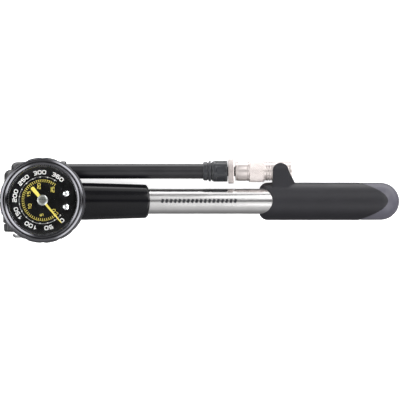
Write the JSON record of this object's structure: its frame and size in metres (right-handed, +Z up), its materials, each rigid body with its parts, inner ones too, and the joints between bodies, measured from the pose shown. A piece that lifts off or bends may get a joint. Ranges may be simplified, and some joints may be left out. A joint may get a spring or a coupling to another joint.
{
  "type": "bicycle shock pump",
  "caption": "Slim high-pressure bicycle pump with a round dial gauge, a side hose with a screw-on valve connector and a pull handle.",
  "frame": {"origin": "middle of the pump's outline, at the height of the surface that its back rests on", "axes": "+X along the barrel from the gauge to the handle's end, +Y towards the hose, +Z up out of the dial"},
  "size_m": [0.2422, 0.0515, 0.033],
  "materials": {
    "barrel_metal": "brushed around, satin",
    "gloss_black": "gloss",
    "black_plastic": "satin",
    "grip_black": "satin, very fine grain",
    "cap_grey": "matte slate grey",
    "hose_black": "smooth satin",
    "bumper_rubber": "satin",
    "rubber": "matte",
    "black_metal": "black, crimped",
    "case_metal": "black",
    "satin_nickel": "satin nickel plate, knurled where gripped",
    "chrome": "polished",
    "steel": "ground",
    "brass": "turned",
    "piston_plastic": "natural",
    "washer_white": "natural",
    "lens": "clear, polished",
    "dial_black": "matt black with printed scale",
    "needle_yellow": "yellow",
    "hub_silver": "satin"
  },
  "bodies": {
    "pump_body": {"pump_head": "gloss_black", "barrel": "barrel_metal", "barrel_sleeve": "gloss_black", "rod_guide": "black_plastic", "rod_wiper": "rubber", "stroke_bumper": "rubber", "check_valve_seat": "brass", "check_valve_spring": "steel", "bleed_cap": "gloss_black", "bleed_spring": "steel", "swivel_post": "brass", "swivel_seals": "rubber", "swivel_washer": "washer_white", "swivel_cap": "gloss_black", "gauge_case": "case_metal", "gauge_bumper": "bumper_rubber", "bezel_ring": "case_metal", "gauge_lens": "lens", "gauge_dial": "dial_black", "dial_rivets": "chrome", "gauge_stem": "brass", "stem_seal": "rubber", "bourdon_tube": "brass", "tube_tip_pin": "brass", "movement_base": "brass", "movement_bridge": "brass", "movement_pillars": "brass", "sector_pivot": "steel"},
    "handle": {"handle_grip": "grip_black", "handle_end_cap": "cap_grey", "handle_core": "steel", "piston_rod": "steel", "piston": "piston_plastic", "piston_seal": "rubber"},
    "hose_assembly": {"swivel_housing": "black_plastic", "swivel_barb": "brass", "hose_ferrule": "black_plastic", "hose": "hose_black", "crimp_ring": "black_metal", "connector_barb": "brass", "connector_collar": "black_plastic", "connector_stem": "black_metal", "connector_body": "satin_nickel"},
    "thumb_wheel": {"thumb_wheel": "satin_nickel"},
    "depressor": {"depressor_pin": "steel"},
    "coupler": {"coupler_sleeve": "satin_nickel", "coupler_nose": "satin_nickel", "valve_seal": "rubber"},
    "bleed_button": {"bleed_button": "chrome", "bleed_stem": "steel", "bleed_seal": "rubber"},
    "check_valve": {"check_valve_poppet": "rubber"},
    "gauge_sector": {"sector_gear": "brass", "link_pin": "steel"},
    "gauge_link": {"movement_link": "brass"},
    "gauge_needle": {"pinion_arbor": "steel", "needle": "needle_yellow", "needle_hub": "hub_silver"}
  },
  "joints": [
    {"name": "handle_slide", "type": "slide", "parent": "pump_body", "child": "handle", "axis": [1, 0, 0], "range_m": [0, 0.16]},
    {"name": "hose_swivel", "type": "hinge", "parent": "pump_body", "child": "hose_assembly", "pos_m": [-0.1097, 0.0155, 0.0115], "axis": [0, 1, 0], "range_deg": [0, 180]},
    {"name": "thumb_wheel_turn", "type": "hinge", "parent": "hose_assembly", "child": "thumb_wheel", "pos_m": [0.01825, 0.0184, 0.0115], "axis": [1, 0, 0], "range_deg": [0, 340]},
    {"name": "depressor_slide", "type": "slide", "parent": "hose_assembly", "child": "depressor", "axis": [1, 0, 0], "range_m": [0, 0.0014]},
    {"name": "coupler_turn", "type": "hinge", "parent": "hose_assembly", "child": "coupler", "pos_m": [0.045, 0.0184, 0.0115], "axis": [1, 0, 0], "continuous": true},
    {"name": "bleed_press", "type": "slide", "parent": "pump_body", "child": "bleed_button", "axis": [0, 1, 0], "range_m": [0, 0.002], "stiffness_N_per_m": 800, "deforming": ["bleed_spring"]},
    {"name": "check_valve_lift", "type": "slide", "parent": "pump_body", "child": "check_valve", "axis": [-1, 0, 0], "range_m": [0, 0.0012], "stiffness_N_per_m": 60, "deforming": ["check_valve_spring"]},
    {"name": "sector_turn", "type": "hinge", "parent": "pump_body", "child": "gauge_sector", "pos_m": [-0.0952, 0.0096, 0.0263], "axis": [0, 0, 1], "range_deg": [0, 52], "stiffness_Nm_per_rad": 0.0005},
    {"name": "link_swing", "type": "hinge", "parent": "gauge_sector", "child": "gauge_link", "pos_m": [-0.09345, 0.0132, 0.027], "axis": [0, 0, 1], "range_deg": [-52, 0]},
    {"name": "needle_turn", "type": "hinge", "parent": "pump_body", "child": "gauge_needle", "pos_m": [-0.0952, 0, 0.0296], "axis": [0, 0, 1], "range_deg": [-260, 0]}
  ],
  "couplings": [
    {"joint": "thumb_wheel_turn", "follows": "depressor_slide", "rad_per_m": 4188.8},
    {"joint": "link_swing", "follows": "sector_turn", "ratio": -1},
    {"joint": "needle_turn", "follows": "sector_turn", "ratio": -5}
  ]
}
